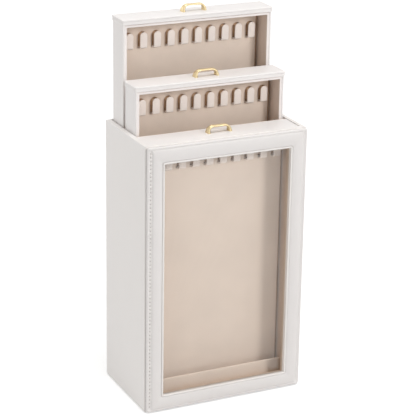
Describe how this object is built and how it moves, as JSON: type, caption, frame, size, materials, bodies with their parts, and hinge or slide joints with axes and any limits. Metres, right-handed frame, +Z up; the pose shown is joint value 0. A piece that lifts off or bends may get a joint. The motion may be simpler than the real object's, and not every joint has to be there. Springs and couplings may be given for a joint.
{
  "type": "jewelry organizer box",
  "caption": "Upright white jewellery case with a clear front window and pull-up drawers one behind another, each with hooks for necklaces and a gold bridge handle.",
  "frame": {"origin": "centre of the case's footprint, on the surface that it stands on", "axes": "+Z up, +X to the case's right as seen from the window side, +Y towards its back; the window faces -Y"},
  "size_m": [0.22, 0.129, 0.4978],
  "materials": {
    "case_wrap": "fine-grained off-white artificial leather on board, satin",
    "padded_wrap": "the same leather over thin foam, satin",
    "white_wrap": "smooth off-white artificial leather, satin",
    "velvet": "short-pile beige velvet",
    "board": "matte",
    "felt": "thin beige felt",
    "clear_pane": "clear, polished",
    "gold": "pale gold plate, polished",
    "screw_steel": "plain zinc-plated steel"
  },
  "bodies": {
    "case": {"left_side_panel": "case_wrap", "right_side_panel": "case_wrap", "back_panel": "case_wrap", "floor_panel": "board", "base_felt": "felt", "floor_lining": "velvet", "left_liner": "velvet", "right_liner": "velvet", "back_liner": "velvet", "front_divider": "velvet", "rear_divider": "velvet", "front_board": "case_wrap", "front_padding": "padded_wrap", "window_bezel": "white_wrap", "window_pane": "clear_pane", "pane_bead": "board"},
    "front_drawer": {"front_drawer_left_board": "white_wrap", "front_drawer_right_board": "white_wrap", "front_drawer_bottom_board": "white_wrap", "front_drawer_back_board": "white_wrap", "front_drawer_lining": "velvet", "front_drawer_cap_top": "white_wrap", "front_drawer_cap_core": "white_wrap", "front_drawer_hook_panel": "velvet", "front_drawer_hooks": "velvet", "front_drawer_fence": "velvet", "front_drawer_handle": "gold", "front_drawer_handle_screws": "screw_steel"},
    "middle_drawer": {"middle_drawer_left_board": "white_wrap", "middle_drawer_right_board": "white_wrap", "middle_drawer_bottom_board": "white_wrap", "middle_drawer_back_board": "white_wrap", "middle_drawer_lining": "velvet", "middle_drawer_cap_top": "white_wrap", "middle_drawer_cap_core": "white_wrap", "middle_drawer_hook_panel": "velvet", "middle_drawer_hooks": "velvet", "middle_drawer_fence": "velvet", "middle_drawer_handle": "gold", "middle_drawer_handle_screws": "screw_steel"},
    "rear_drawer": {"rear_drawer_left_board": "white_wrap", "rear_drawer_right_board": "white_wrap", "rear_drawer_bottom_board": "white_wrap", "rear_drawer_back_board": "white_wrap", "rear_drawer_lining": "velvet", "rear_drawer_cap_top": "white_wrap", "rear_drawer_cap_core": "white_wrap", "rear_drawer_hook_panel": "velvet", "rear_drawer_hooks": "velvet", "rear_drawer_fence": "velvet", "rear_drawer_handle": "gold", "rear_drawer_handle_screws": "screw_steel"}
  },
  "joints": [
    {"name": "front_drawer_slide", "type": "slide", "parent": "case", "child": "front_drawer", "axis": [0, 0, 1], "range_m": [0, 0.285]},
    {"name": "middle_drawer_slide", "type": "slide", "parent": "case", "child": "middle_drawer", "axis": [0, 0, 1], "range_m": [-0.0614, 0.2236]},
    {"name": "rear_drawer_slide", "type": "slide", "parent": "case", "child": "rear_drawer", "axis": [0, 0, 1], "range_m": [-0.1358, 0.1492]}
  ]
}
